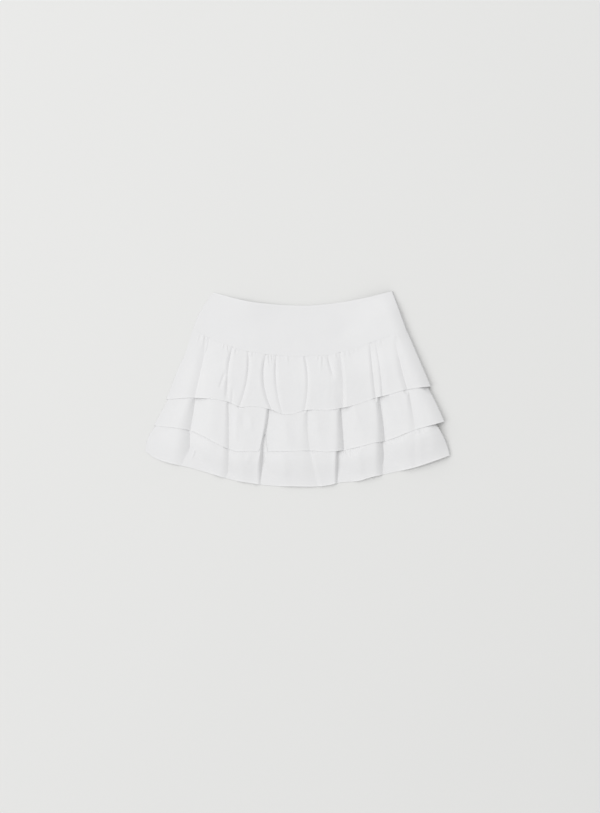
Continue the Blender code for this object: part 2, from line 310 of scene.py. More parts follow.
# Small wrinkles: share of the height, pitches across and down, how X leans with Y and Y with X; then the
# pitches of the back, the yoke and the seam's pull, and the seeds
WRINKLES = ((1.2, 0.024, 0.080, 0, 0), (0.8, 0.011, 0.036, 0.15, 0), (0.35, 0.007, 0.011, -0.3, 0.2))
BACK_PITCH = (0.016, 0.050)
YOKE_PITCH = (0.030, 0.050)
PULL_PITCH = (0.009, 0.030)
YOKE_CALM = 0.125
WRINKLE_SEEDS = {"upper_tier": 11, "middle_tier": 21, "lower_tier": 31}
YOKE_SEED = 41
LATTICE = 256
LATTICE_SHIFT = (97.3, 61.7)

# A stitch: shares of its length with its width there, its sides, and where the first lies, in pitches
STITCH_ALONG = (0.0, 0.12, 0.5, 0.88, 1.0)
STITCH_WIDE = (0.25, 0.85, 1.0, 0.85, 0.25)
STITCH_SIDES = 6
FIRST_STITCH = 0.8


def length_setting(name, description, default, low, high=None):
    """A setting that is a length in metres, with its lowest and highest value."""
    most = {} if high is None else {"max": high}
    return FloatProperty(name=name, description=description, default=default, min=low, **most,
                         precision=5, unit="LENGTH")


def colour_setting(name, description, default):
    """A setting that is a colour."""
    return FloatVectorProperty(name=name, description=description, default=default, subtype="COLOR",
                               size=3, min=0, max=1)


class SkirtCloth(bpy.types.PropertyGroup):
    """Sizes and colours of the cloth and its sewing."""

    shell: length_setting("Cloth thickness", "Thickness of one layer of cloth", 0.0003, 0.0002, 0.002)
    hem_thickness: length_setting("Hem thickness", "Thickness of the turned hem", 0.00035, 0.0003, 0.003)
    hem_depth: length_setting("Hem depth", "Depth of the turned hem", 0.0045, 0.002, 0.03)
    hem_curl: length_setting("Hem curl", "How far a hem's edge curls up", 0.0002, 0.0, 0.004)
    column: length_setting("Column step", "Step of the cloth's grid across the skirt", 0.0014, 0.0008, 0.01)
    rows: IntProperty(name="Rows", description="Rows of the cloth's grid down one tier", default=79, min=12)
    wrinkle: length_setting("Wrinkle height", "Height of the small uneven wrinkles", 0.00018, 0.0, 0.002)
    stitch_length: length_setting("Stitch length", "Length of one visible stitch", 0.0023, 0.001, 0.006)
    stitch_pitch: length_setting("Stitch pitch", "Step from one stitch to the next", 0.0031, 0.0015, 0.01)
    thread: length_setting("Thread width", "Width of the sewing thread", 0.00045, 0.0002, 0.001)
    weave: length_setting("Weave pitch", "Step from one thread of the weave to the next", 0.0007, 0.0002, 0.003)
    yoke_colour: colour_setting("Yoke colour", "Colour of the yoke's cloth", (0.772, 0.772, 0.776))
    tier_colour: colour_setting("Tier colour", "Colour of the ruffles' cloth", (0.772, 0.772, 0.776))
    thread_colour: colour_setting("Thread colour", "Colour of the sewing thread", (0.82, 0.82, 0.82))


class SkirtStage(bpy.types.PropertyGroup):
    """The floor, the lights and the camera."""

    floor_size: length_setting("Floor size", "Side of the floor", SKIRT_WIDTH * 12, 1.0)
    floor_colour: colour_setting("Floor colour", "Colour of the floor", (0.762, 0.763, 0.753))
    key_power: FloatProperty(name="Key power", description="Power of the soft light at the left, in watts",
                             default=270.0, min=0.0)
    key_place: FloatVectorProperty(name="Key place", description="Place of the soft light at the left",
                                   default=(-4.6, -0.4, 7.5), subtype="TRANSLATION", size=3, unit="LENGTH")
    key_size: length_setting("Key size", "Side of the soft light at the left", 5.5, 0.05)
    top_power: FloatProperty(name="Top power", description="Power of the broad light overhead, in watts",
                             default=116.0, min=0.0)
    top_place: FloatVectorProperty(name="Top place", description="Place of the broad light overhead",
                                   default=(-0.5, 3.0, 5.5), subtype="TRANSLATION", size=3, unit="LENGTH")
    top_size: length_setting("Top size", "Side of the broad light overhead", 6.5, 0.05)
    fill: FloatProperty(name="Fill", description="Strength of the even light from all round",
                        default=0.585, min=0.0)
    camera_height: length_setting("Camera height", "Height of the camera above the floor", 2.6, 0.5)
    view_width: length_setting("View width", "Width of floor that the picture shows", 1.152, 0.1)
    view_centre: FloatVectorProperty(name="View centre", description="Point of the floor under the camera",
                                     default=(0.0053, -0.0336), subtype="XYZ", size=2, unit="LENGTH")


def ease(share):
    """A smooth step from 0 to 1: three times the square less twice the cube."""
    share = np.clip(share, 0.0, 1.0)
    return share * share * (3 - 2 * share)


def noise(x, y, pitch_x, pitch_y, seed):
    """Smooth uneven heights from -1 to 1: random values on a lattice of the given pitches, eased between."""
    lattice = np.random.default_rng(seed).uniform(-1, 1, (LATTICE, LATTICE))
    across, down = x / pitch_x + LATTICE_SHIFT[0], y / pitch_y + LATTICE_SHIFT[1]
    column, row = np.floor(across).astype(int), np.floor(down).astype(int)
    right, below = ease(across - column), ease(down - row)
    value = [[lattice[(column + i) % LATTICE, (row + j) % LATTICE] for j in (0, 1)] for i in (0, 1)]
    upper = value[0][0] * (1 - right) + value[1][0] * right
    lower = value[0][1] * (1 - right) + value[1][1] * right
    return upper * (1 - below) + lower * below


def curve_through(places, values, at):
    """A smooth curve through points: a cubic between each pair, whose slope at a point is the mean of the
    slopes beside it."""
    places, values = np.asarray(places, float), np.asarray(values, float)
    slope = np.diff(values) / np.diff(places)
    bend = np.concatenate((slope[:1], (slope[1:] + slope[:-1]) / 2, slope[-1:]))
    i = np.clip(np.searchsorted(places, at, side="right") - 1, 0, len(slope) - 1)
    gap = places[i + 1] - places[i]
    t = (at - places[i]) / gap
    return (
        values[i] * (1 + 2 * t) * (1 - t) ** 2
        + bend[i] * gap * t * (1 - t) ** 2
        + values[i + 1] * t * t * (3 - 2 * t)
        + bend[i + 1] * gap * t * t * (t - 1)
    )


def path_values(paths, field):
    """One column of a table of paths, in metres."""
    return np.array([getattr(path, field) for path in paths]) * MM


def tier_columns(paths, step, folded=True):
    """The columns of a tier's grid, left to right, each as a path, a part and a share. Part 0 is the fall
    to a path's valley, part 1 its climb and part 2 the way on to the next. On the side paths, part 1 or 0 is
    the rounded side, with columns closer together towards the edge."""
    x, last = path_values(paths, "hem"), len(paths) - 1
    round_side = 1 - np.cos(np.linspace(0, np.pi / 2, SIDE_COLUMNS))
    away = np.linspace(0, 1, FOLD_COLUMNS) ** FOLD_PACKING
    found = []
    for i, path in enumerate(paths):
        if folded and i == 0:
            found += [(i, 1, share) for share in round_side]
        elif folded and i == last:
            found += [(i, 0, 1 - share) for share in round_side[::-1]]
        elif folded and path.fall:
            found += [(i, 0, 1 - share) for share in away[::-1]] + [(i, 1, share) for share in away[1:]]
        else:
            found.append((i, 1, 1.0))
        if i < last:
            steps = max(2, round((x[i + 1] - x[i]) / step))
            found += [(i, 2, way / steps) for way in range(1, steps)]
    return tuple(map(np.array, zip(*found)))


def tier_rows(strip, count):
    """Shares down a tier to its hem at 1, closer together at both ends, with one row right at each edge; a
    hidden strip goes from -1 to 0."""
    even = np.linspace(0, 1, count)
    rows = ROW_EVENNESS * even + (1 - ROW_EVENNESS) * (0.5 - 0.5 * np.cos(np.pi * even))
    rows = np.concatenate(([0, EDGE_ROW], rows[1:-1], [1 - EDGE_ROW, 1]))
    return np.append(np.linspace(-1, 0, STRIP_ROWS)[:-1], rows) if strip else rows


def path_x(paths, down):
    """X of every path on each row: a parabola through its places at the top, halfway and at the hem."""
    top, middle, hem = (path_values(paths, field) for field in ("top", "middle", "hem"))
    share = np.clip(down, 0, 1)[:, None]
    return top * (1 - share) + hem * share + (4 * middle - 2 * (top + hem)) * share * (1 - share)


def hem_line(tier, x):
    """Y of a tier's hem at any X: a smooth curve through its paths, which eases up to the tucked fold."""
    paths = TIERS[tier]
    places = path_values(paths, "hem")
    tucks = np.array([HEM_TUCK if (tier, path.name) == TUCKED else 0 for path in paths])
    y = curve_through(places, path_values(paths, "hem_y") - tucks, x)
    for place in places[tucks > 0]:
        reach = np.where(x < place, *TUCK_REACHES)
        y = y + HEM_TUCK * (1 - ease(np.abs(x - place) / reach))
    return y


def top_line(tier, x):
    """Y of the line that a tier hangs from, at any X: the yoke seam, or the hem of the tier above."""
    above = list(TIERS)[list(TIERS).index(tier) - 1]
    if tier == "upper_tier":
        seam_x, seam_y = np.array(SEAM).T * MM
        return curve_through(seam_x, seam_y, x)
    return hem_line(above, x)


def tier_plan(tier, cols, down, folded=True):
    """X and Y of a tier's grid, and X of every path. A column follows its fold's fall or climb, or goes
    between two folds, whose columns share the way to the next one. Y goes evenly from the top line to the
    hem. Above the top line the hidden strip goes on straight, a little narrower."""
    paths = TIERS[tier]
    path, part, share = cols
    last = len(paths) - 1
    valley = path_x(paths, down)
    if tier == "upper_tier":
        valley[:, 0] -= left_tuck(down)
    fall, climb = fold_widths(tier, down)
    fall[:, :-1], climb[:, 1:] = np.minimum(fall[:, :-1], FOLD_GRID), np.minimum(climb[:, 1:], FOLD_GRID)
    start, end = valley - fall * folded, valley + climb * folded
    end[:, :-1] = np.minimum(end[:, :-1], (valley[:, :-1] + start[:, 1:]) / 2)
    following = np.minimum(path + 1, last)
    x = np.choose(part, (
        start[:, path] + (valley - start)[:, path] * share,
        valley[:, path] + (end - valley)[:, path] * (share if folded else 0),
        end[:, path] + (start[:, following] - end[:, path]) * share,
    ))
    strip = np.clip(-down, 0, 1)[:, None]
    y_top, y_hem = top_line(tier, x[np.argmin(np.abs(down))]), hem_line(tier, x[-1])
    y = y_top + (y_hem - y_top) * np.clip(down, 0, 1)[:, None] + STRIP * strip
    return x * (1 - STRIP_NARROWER * strip), y, valley


def fold_widths(tier, down):
    """Widths of every fold's fall and climb on each row. The sides' are the rounded edges."""
    paths = TIERS[tier]
    wider = TOP_WIDTHS[tier] + (1 - TOP_WIDTHS[tier]) * np.clip(down, 0, 1)[:, None]
    fall, climb = path_values(paths, "fall") * wider, path_values(paths, "climb") * wider
    climb[:, 0], fall[:, -1] = LEFT_EDGE, RIGHT_FALL
    return fall, climb


def left_tuck(down):
    """How far the top tier's left side springs out: a half sine, less the tuck over it that grows as a
    square and eases back."""
    past = down - LEFT_TUCK_END
    grown = (np.minimum(down, LEFT_TUCK_END) / LEFT_TUCK_END) ** 2
    tuck = LEFT_TUCK * grown * (1 - ease(past / LEFT_TUCK_BACK))
    return LEFT_SPRING * np.sin(np.pi * np.clip(past / (1 - LEFT_TUCK_END), 0, 1)) - tuck


def fold_depths(tier, x, valley, down, strength):
    """How far the folds sink the cloth. A fall gets steeper down to its valley, as the square of the way. In
    the top tier the climb is the same, mirrored; further down it eases up slowly. A low bell-shaped crest
    lies where the fall starts."""
    paths = TIERS[tier]
    share = np.clip(down, 0, 1)[:, None]
    fall, climb = fold_widths(tier, down)
    depth = (path_values(paths, "high") * (1 - share) + path_values(paths, "low") * share) * strength
    sunk = np.zeros_like(x)
    for i, path in enumerate(paths):
        if path.fall:
            from_valley = x - valley[:, i:i + 1]
            left = np.clip(1 + from_valley / fall[:, i:i + 1], 0, 1) ** 2
            right = np.clip(1 - from_valley / climb[:, i:i + 1], 0, 1)
            right = right ** 2 if tier == "upper_tier" else ease(right)
            crest = np.exp(-(((from_valley + fall[:, i:i + 1]) / (CREST_WIDTH * fall[:, i:i + 1])) ** 2))
            sunk += depth[:, i:i + 1] * (np.where(from_valley < 0, left, right) - CREST_SHARE * crest)
    return sunk


def lean(x, height, rise):
    """A height pressed flatter towards the left side of every row, and raised towards the right side."""
    from_left = ease((x - x[:, :1]) / LEFT_REACH)
    from_right = 1 - ease((x[:, -1:] - x) / RIGHT_REACH)
    return height * (LEFT_SHARE + (1 - LEFT_SHARE) * from_left) + rise * from_right


def gather_heights(x, below):
    """Heights of the small gathers: each rises slowly, drops quickly into a little trough, and fades out
    down its reach."""
    total = np.zeros_like(x)
    for place, wander, reach, height, width in GATHERS:
        depth = below / (reach * MM)
        across = (x - (place + wander * depth) * MM) / width
        rise = ease(1 + across / (GATHER_RISE * MM)) * (across <= 0)
        drop = (1 - ease(across / (GATHER_DROP * MM))) * (across > 0)
        trough = np.exp(-(((across - TROUGH_PLACE * MM) / (TROUGH_SIZE * MM)) ** 2))
        fade = (1 - ease(depth)) * (GATHER_AT_SEAM + (1 - GATHER_AT_SEAM) * ease(below / GATHER_START))
        total += height * MM * fade * (rise + drop - GATHER_TROUGH * trough)
    return total * GATHER_SHARE


def ridge(x, y, start, end, width):
    """A ridge of height 1: a bell curve across a straight line, eased in and out over a third of it."""
    way = np.subtract(end, start)
    length = np.linalg.norm(way)
    run_x, run_y = way / length
    ahead = ((x - start[0]) * run_x + (y - start[1]) * run_y) / length
    across = (x - start[0]) * run_y - (y - start[1]) * run_x
    return np.exp(-((across / width) ** 2)) * ease(ahead * 3) * ease((1 - ahead) * 3)


def crease_heights(tier, x, y):
    """Heights of a tier's creases and ridges, added up."""
    height = np.zeros_like(x)
    for *ends, width, high in np.array(CREASES[tier]) * MM:
        height += high * ridge(x, y, ends[:2], ends[2:], width)
    return height


def wrinkle_heights(x, y, height, seed):
    """Heights of the cloth's small wrinkles: long soft noise, finer noise and a little crumple, added up."""
    total = 0
    for i, (share, pitch_x, pitch_y, x_lean, y_lean) in enumerate(WRINKLES):
        total = total + share * noise(x + x_lean * y, y + y_lean * x, pitch_x, pitch_y, seed + i)
    return height * total


def height_under(grid, x, y):
    """Height that stays under a surface at any place: its lowest points in small square cells, the lowest of
    the cells around, and then their mean. Where the surface isn't overhead, the height is out of reach."""
    left, low = grid[..., 0].min() - CELLS_BESIDE * CELL, grid[..., 1].min() - CELLS_BESIDE * CELL
    wide = int((grid[..., 0].max() - left) / CELL) + CELLS_BESIDE + 1
    tall = int((grid[..., 1].max() - low) / CELL) + CELLS_BESIDE + 1
    cells = np.full((wide, tall), OUT_OF_REACH)
    column = ((grid[..., 0] - left) / CELL).astype(int)
    row = ((grid[..., 1] - low) / CELL).astype(int)
    np.minimum.at(cells, (column, row), grid[..., 2])
    steps = range(-CELLS_AROUND, CELLS_AROUND + 1)
    for axis in (0, 1):
        cells = np.min([np.roll(cells, step, axis) for step in steps], axis=0)
    for axis in (0, 1):
        cells = np.mean([np.roll(cells, step, axis) for step in steps], axis=0)
    column = np.clip(((x - left) / CELL).astype(int), 0, wide - 1)
    row = np.clip(((y - low) / CELL).astype(int), 0, tall - 1)
    inside = (x > left) & (y > low) & (x < left + wide * CELL) & (y < low + tall * CELL)
    return np.where(inside, cells[column, row], OUT_OF_REACH)


def hem_share(y, settings):
    """Share of a hem's thickness on every row of a grid: 1 within the turned hem, and 0 above it."""
    mean = np.mean(y - y[-1:], axis=1, keepdims=True)
    return 1 - ease((mean - settings.hem_depth) / HEM_GROOVE)


def side_roll(x):
    """How much of its height the cloth keeps near its sides: a quarter circle at the left edge, and at the
    right a steep quarter circle and then a gentle slope."""
    left, right = x[:, :1], x[:, -1:]
    from_left = np.clip((x - left) / LEFT_EDGE, 0, 1)
    from_right = np.clip((right - x) / RIGHT_EDGE, 0, 1)
    gentle = np.clip((right - x) / RIGHT_FALL, 0, 1)
    steep = np.sqrt(1 - (1 - from_right) ** 2)
    kept = RIGHT_STEEP_SHARE * steep + (1 - RIGHT_STEEP_SHARE) * np.sin(np.pi / 2 * gentle)
    return np.sqrt(1 - (1 - from_left) ** 2) * kept


def on_the_back(x, z, turned, ramp, settings):
    """A front's heights: above the back, the turned hems and the ramp, and rolled down at the sides."""
    thick = 2 * (settings.hem_thickness - settings.shell) * turned
    base = BACK_LIFT + 2 * settings.shell + LAYER_GAP + thick + ramp
    return base + (np.maximum(z, base) - base) * side_roll(x)


def front_surface(tier, settings, above):
    """A tier's front as a grid of rows by columns by 3: its plan, then folds, gathers, creases, wrinkles and
    a hem, pressed under the tier above and rolled down at the sides."""
    paths = TIERS[tier]
    cols = tier_columns(paths, settings.column)
    down = tier_rows(above is not None, round(settings.rows * ROW_SHARES[tier]))
    x, y, valley = tier_plan(tier, cols, down)
    depth = np.clip(down, 0, 1)[:, None]
    plain, strength = lean(x, FULL_LIFT, RIGHT_RISE), np.ones_like(depth)
    if above is None:
        grown = ease(depth / SEAM_SLOPE)
        plain = plain * grown + lean(x, SEAM_LIFT, YOKE_RIGHT_RISE) * (1 - grown)
        strength = SEAM_SHARE + (1 - SEAM_SHARE) * ease(depth / FOLD_START)
    if tier == "lower_tier":
        (from_x, low), (to_x, high) = HEM_LIFTS
        kept = (low + (high - low) * ease((x - from_x) / (to_x - from_x))) / FULL_LIFT
        plain = plain * (1 - (1 - kept) * ease((depth - HEM_SLOPE_START) / (1 - HEM_SLOPE_START)))
    z = plain - fold_depths(tier, x, valley, down, strength)
    below, to_hem = y[:1] - y, y - y[-1:]
    calm = ease(below / SEAM_CALM) if above is None else 1.0
    z = z + crease_heights(tier, x, y) + wrinkle_heights(x, y, settings.wrinkle, WRINKLE_SEEDS[tier]) * calm
    if above is None:
        z = z + gather_heights(x, below)
    groove = np.exp(-(((to_hem - STITCH_UP) / HEM_GROOVE) ** 2))
    step = 1 - ease((to_hem - settings.hem_depth) / HEM_GROOVE)
    z = z + settings.hem_curl * ease(1 - to_hem / HEM_CURL_REACH) + HEM_STEP * (step - groove)
    ramp = 0.0
    if above is not None:
        z = np.minimum(z, height_under(above, x, y) - settings.hem_thickness - LAYER_GAP)
        climb = STRIP_RISE * below
        z = climb + np.minimum.accumulate(z - climb, axis=0)
        ramp = (settings.hem_thickness + LAYER_GAP) * (1 - ease(depth / RAMP_END))
    return np.stack((x, y, on_the_back(x, z, hem_share(y, settings), ramp, settings)), axis=2)


def back_surface(tier, settings):
    """A tier's back as a grid of rows by columns by 3: flat on the floor, with narrow troughs pressed in by
    the gathers, and its hidden strip on the tier above it."""
    paths = TIERS[tier]
    cols = tier_columns(paths, settings.column, folded=False)
    down = tier_rows(tier != "upper_tier", round(settings.rows * ROW_SHARES[tier] * BACK_ROW_SHARE))
    x, y, _ = tier_plan(tier, cols, down, folded=False)
    depth = np.clip(down, 0, 1)[:, None]
    if tier == "lower_tier":
        shorter = [BACK_SHORTER_AT.get(path.name, BACK_SHORTER) for path in paths]
        y = y + curve_through(path_values(paths, "hem"), np.array(shorter) * MM, x) * depth
    z = np.full_like(x, BACK_LIFT)
    if tier != "upper_tier":
        z += (settings.hem_thickness + LAYER_GAP) * (1 - ease(depth / RAMP_END))
    fade = ease(depth / TROUGH_START) * ease((1 - depth) / TROUGH_END)
    tier_start = list(TIERS).index(tier) / len(TIERS)
    whole = tier_start + depth / len(TIERS)
    for seam_x, hem_x, reach, height in BACK_TROUGHS:
        across = x - (seam_x * (1 - whole) + hem_x * whole) * MM
        reached = 1 - ease((whole - reach + TROUGH_FADE) / TROUGH_FADE)
        z += height * MM * fade * reached * np.exp(-((across / TROUGH_WIDTH) ** 2))
    z += settings.wrinkle * BACK_WRINKLE * fade * (1 + noise(x, y, *BACK_PITCH, WRINKLE_SEEDS[tier] + 7))
    return np.stack((x, y, z), axis=2)


def yoke_surface(front, settings):
    """The yoke as a grid of rows by columns by 3: straight lines from the dipped waist to the seam, bowed at
    the left. The front rises towards the seam, hangs loose at the left of the waist and has a soft dent."""
    step = settings.column * YOKE_COARSER
    seam_x, _ = np.array(SEAM).T * MM
    share = np.linspace(0, 1, round((seam_x[-1] - seam_x[0]) / step))[None, :]
    down = tier_rows(False, YOKE_ROWS)[:, None]
    low_x = seam_x[0] + (seam_x[-1] - seam_x[0]) * share
    high_x = WAIST_ENDS[0] + (WAIST_ENDS[1] - WAIST_ENDS[0]) * share
    loose = np.exp(-(((high_x - LOOSE_X) / LOOSE_WIDTH) ** 2))
    high_y = WAIST_LOW_Y + WAIST_DIP * np.abs((high_x - WAIST_MIDDLE_X) / WAIST_REACH) ** WAIST_POWER
    high_y = high_y - LOOSE_DROP * loose
    low_y = top_line("upper_tier", low_x) + SEAM_CREASE
    x = high_x * (1 - down) + low_x * down - YOKE_LEFT_BOW * np.sin(np.pi * down) * (1 - share)
    y = high_y * (1 - down) + low_y * down
    if not front:
        calm = ease(down / YOKE_CALM) * ease((1 - down) / YOKE_CALM)
        z = BACK_LIFT + settings.wrinkle * BACK_WRINKLE * (1 + noise(x, y, *YOKE_PITCH, YOKE_SEED)) * calm
        return np.stack((x, y, z), axis=2)
    right_rise = YOKE_RIGHT_RISE * (WAIST_RISE_SHARE + (1 - WAIST_RISE_SHARE) * ease(2 * down))
    z = lean(x, WAIST_LIFT + (SEAM_LIFT - WAIST_LIFT) * ease(down), right_rise)
    z -= DENT_DEPTH * ridge(x, y, DENT_START, DENT_END, DENT_WIDTH)
    z += LOOSE_LIFT * loose * (1 - ease(down / LOOSE_REACH))
    above_seam = y - low_y
    pull = noise(x, y, *PULL_PITCH, YOKE_SEED + 1) * (1 - ease(above_seam / YOKE_PULL_REACH))
    calm = ease(above_seam / SEAM_CALM)
    z += settings.wrinkle * (0.9 * noise(x, y, *YOKE_PITCH, YOKE_SEED + 2) + 0.7 * pull) * calm
    turned = 1 - ease((high_y - y - settings.hem_depth) / HEM_GROOVE)
    return np.stack((x, y, on_the_back(x, z, turned, 0.0, settings)), axis=2)


def grid_faces(rows, columns, upwards):
    """The four corners of every face of a grid, counter-clockwise when seen from outside."""
    corner = (np.arange(rows - 1)[:, None] * columns + np.arange(columns - 1)).ravel()
    faces = np.stack((corner, corner + columns, corner + columns + 1, corner + 1), axis=1)
    return faces if upwards else faces[:, ::-1]


def grid_lengths(grid):
    """Mean distance along a grid's rows and down its columns, from the first column and row."""
    across = np.linalg.norm(np.diff(grid, axis=1), axis=2).mean(axis=0)
    down = np.linalg.norm(np.diff(grid, axis=0), axis=2).mean(axis=1)
    return np.append(0, np.cumsum(across)), np.append(0, np.cumsum(down))


def sharpen(mesh, first):
    """Mark the edges of a run of vertices as sharp, so that a sewn edge stays flat up to its seam."""
    ends = np.empty(2 * len(mesh.edges), dtype=np.int32)
    mesh.edges.foreach_get("vertices", ends)
    inside = np.isin(ends.reshape(-1, 2), first).all(axis=1)
    mesh.attributes.new("sharp_edge", "BOOLEAN", "EDGE").data.foreach_set("value", inside)


def new_piece(name, points, faces, material):
    """A new smooth mesh object at the origin, with one material, from points and a list of faces."""
    mesh = bpy.data.meshes.new(name)
    mesh.from_pydata(points.tolist(), [], faces)
    mesh.shade_smooth()
    mesh.materials.append(material)
    piece = bpy.data.objects.new(name, mesh)
    bpy.context.scene.collection.objects.link(piece)
    return piece


def cloth_piece(name, grid, front, material, settings, hems):
    """One piece of cloth: an open grid, given its thickness inwards, thicker within its turned hems.

    hems holds the shares of hem thickness for every row."""
    rows, columns = grid.shape[:2]
    piece = new_piece(name, grid.reshape(-1, 3), grid_faces(rows, columns, front).tolist(), material)
    across, down = grid_lengths(grid)
    hem_first = hems[0] > 0
    sharpen(piece.data, np.arange(columns) + (rows - 1) * columns * hem_first)
    from_hem = down if hem_first else down[-1] - down
    places = np.stack(np.broadcast_arrays(across[None, :], from_hem[:, None]), axis=2).reshape(-1, 2)
    corners = np.empty(len(piece.data.loops), dtype=np.int32)
    piece.data.loops.foreach_get("vertex_index", corners)
    layer = piece.data.uv_layers.new(name="Cloth")
    layer.uv.foreach_set("vector", places[corners].astype(np.float32).ravel())
    group = piece.vertex_groups.new(name="hem")
    for row, weight in enumerate(hems):
        if weight > 0:
            group.add(list(range(row * columns, (row + 1) * columns)), float(weight), "REPLACE")
    shell = piece.modifiers.new("Thickness", "SOLIDIFY")
    shell.thickness = settings.hem_thickness
    shell.offset = -1
    shell.vertex_group = "hem"
    shell.thickness_vertex_group = settings.shell / settings.hem_thickness
    return piece


def line_on_grid(grid, up):
    """Points of the line that runs across a grid at a distance up from its last row."""
    step = np.linalg.norm(np.diff(grid, axis=0), axis=2)[::-1]
    gone = np.vstack((np.zeros_like(step[0]), np.cumsum(step, axis=0)))
    turned = grid[::-1]
    row = np.clip((gone < up).sum(axis=0) - 1, 0, len(grid) - 2)
    column = np.arange(grid.shape[1])
    share = ((up - gone[row, column]) / (gone[row + 1, column] - gone[row, column]))[:, None]
    return turned[row, column] * (1 - share) + turned[row + 1, column] * share


def stitches(name, line, outwards, settings, material):
    """A row of stitches along a line: small round capsules, end to end with short gaps, on the cloth.

    Each is a ring of points carried along its length, narrow at both ends."""
    length = np.append(0, np.cumsum(np.linalg.norm(np.diff(line, axis=0), axis=1)))
    count = int(length[-1] / settings.stitch_pitch) - 1
    places = (np.arange(count) + FIRST_STITCH) * settings.stitch_pitch
    half = settings.stitch_length / 2
    heads, tails = (
        np.stack([np.interp(places + move, length, line[:, axis]) for axis in range(3)], axis=1)
        for move in (-half, half)
    )
    run = tails - heads
    run /= np.linalg.norm(run, axis=1, keepdims=True)
    out = np.broadcast_to((0.0, 0.0, 1.0 if outwards else -1.0), run.shape)
    out = out - run * np.sum(out * run, axis=1, keepdims=True)
    out /= np.linalg.norm(out, axis=1, keepdims=True)
    aside = np.cross(run, out)
    along, wide = np.array(STITCH_ALONG), np.array(STITCH_WIDE) * settings.thread / 2
    turn = np.arange(STITCH_SIDES) * 2 * np.pi / STITCH_SIDES
    middle = heads[:, None, :] + (tails - heads)[:, None, :] * along[:, None]
    ring = aside[:, None, :] * np.cos(turn)[:, None] + out[:, None, :] * np.sin(turn)[:, None]
    points = middle[:, :, None, :] + ring[:, None, :, :] * wide[None, :, None, None]
    rings, sides = len(along), len(turn)
    first = np.arange(rings * sides).reshape(rings, sides)
    walls = np.stack((first[:-1], first[1:], np.roll(first[1:], -1, 1), np.roll(first[:-1], -1, 1)), axis=2)
    walls = walls.reshape(-1, 4)
    caps = [list(first[0]), list(first[-1][::-1])]
    shift = np.arange(count)[:, None, None] * rings * sides
    faces = (walls[None] + shift).reshape(-1, 4).tolist()
    for start in range(count):
        faces += [[int(corner) + start * rings * sides for corner in cap] for cap in caps]
    return new_piece(name, points.reshape(-1, 3), faces, material)


def node(tree, kind, place, feeds=(), **values):
    """A shader node at a place in the tree, with its properties, its sockets' values and their feeds."""
    made = tree.nodes.new(kind)
    made.location = place
    for name, value in values.items():
        if hasattr(made, name):
            setattr(made, name, value)
        else:
            made.inputs[name.replace("_", " ")].default_value = value
    for socket, source in feeds:
        tree.links.new(source, made.inputs[socket])
    return made


def new_material(name, **values):
    """A new material, its node tree and its shader, with values by the names of the shader's sockets."""
    material = bpy.data.materials.new(name)
    material.use_nodes = True
    shader = material.node_tree.nodes["Principled BSDF"]
    for socket, value in values.items():
        shader.inputs[socket.replace("_", " ")].default_value = value
    return material, material.node_tree, shader


def cloth_material(name, colour, weave, hem_depth):
    """Plain woven white cotton: crossed threads in the cloth's own UV map, uneven yarn, a soft nap, and a
    painted highlight: a little whiter within the turned hem, partly for its double layer and partly for light
    caught at its edge."""
    sheen = {"Sheen_Weight": 0.12, "Sheen_Roughness": 0.5}
    material, tree, shader = new_material(name, Roughness=0.88, Specular_IOR_Level=0.3, **sheen)
    place = [("Vector", node(tree, "ShaderNodeUVMap", (-1300, 0), uv_map="Cloth").outputs["UV"])]
    threads = {"Scale": 2 * np.pi / 20 / weave, "Distortion": 0.6}
    warp = node(tree, "ShaderNodeTexWave", (-1000, 200), place, bands_direction="X", **threads)
    weft = node(tree, "ShaderNodeTexWave", (-1000, -100), place, bands_direction="Y", **threads)
    yarn = node(tree, "ShaderNodeTexNoise", (-1000, -400), place, Scale=260.0, Detail=3.0)
    cloud = node(tree, "ShaderNodeTexNoise", (-1000, -700), place, Scale=22.0, Detail=2.0)
    feeds = [(0, warp.outputs["Fac"]), (1, weft.outputs["Fac"])]
    crossed = node(tree, "ShaderNodeMath", (-750, 60), feeds, operation="MAXIMUM")
    feeds = [(0, crossed.outputs[0]), (1, yarn.outputs["Fac"])]
    uneven = node(tree, "ShaderNodeMath", (-550, -100), feeds, operation="ADD")
    feeds = [("Height", uneven.outputs[0])]
    bump = node(tree, "ShaderNodeBump", (-350, -200), feeds, Strength=0.35, Distance=0.0001)
    tree.links.new(bump.outputs["Normal"], shader.inputs["Normal"])
    shade = node(tree, "ShaderNodeValToRGB", (-700, -700), [("Fac", cloud.outputs["Fac"])])
    dark, light = shade.color_ramp.elements
    dark.position, light.position = 0.3, 0.7
    dark.color, light.color = [value * 0.988 for value in colour] + [1.0], [*colour, 1.0]
    up = node(tree, "ShaderNodeSeparateXYZ", (-1000, -1000), place)
    # Painted highlight: the base colour is made a little whiter within the turned hem, near the cloth's edge
    span = {"From_Min": hem_depth, "From_Max": hem_depth * 0.7}
    hem_highlight_mask = node(tree, "ShaderNodeMapRange", (-750, -1000), [("Value", up.outputs["Y"])], **span)
    feeds = [("Factor", hem_highlight_mask.outputs["Result"]), ("A", shade.outputs["Color"])]
    white = [value * HEM_PAINTED_HIGHLIGHT for value in colour] + [1.0]
    hem_highlight = node(tree, "ShaderNodeMix", (-350, -700), feeds, data_type="RGBA", B=white)
    tree.links.new(hem_highlight.outputs["Result"], shader.inputs["Base Color"])
    return material


